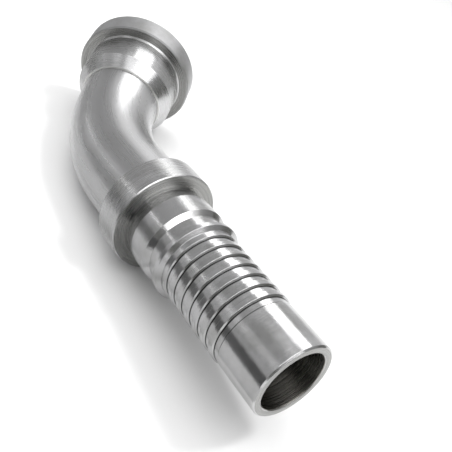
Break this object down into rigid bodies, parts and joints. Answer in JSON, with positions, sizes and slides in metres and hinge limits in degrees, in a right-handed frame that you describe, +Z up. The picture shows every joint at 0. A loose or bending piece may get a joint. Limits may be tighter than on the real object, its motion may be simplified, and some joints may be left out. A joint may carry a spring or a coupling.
{
  "type": "flanged hydraulic hose fitting",
  "caption": "Rigid 45 degree hydraulic hose fitting: flanged head with an O-ring groove, bent steel tube, and a turned hose stem with collar, locking ribs and saw-tooth grooves.",
  "frame": {"origin": "middle of the bottom of the bounding box, on the floor the fitting lies on", "axes": "+Z up from the floor, +X the level direction in which the hose tail points, +Y to the side the elbow bends to"},
  "size_m": [0.1776, 0.0696, 0.0482],
  "materials": {
    "flange_head_steel": "turned, thin clear plating",
    "elbow_tube_steel": "satin, thin clear plating",
    "hose_stem_steel": "fine turned, thin clear plating"
  },
  "bodies": {
    "root": {"flange_head": "flange_head_steel", "elbow_tube": "elbow_tube_steel", "hose_stem": "hose_stem_steel"}
  },
  "joints": []
}
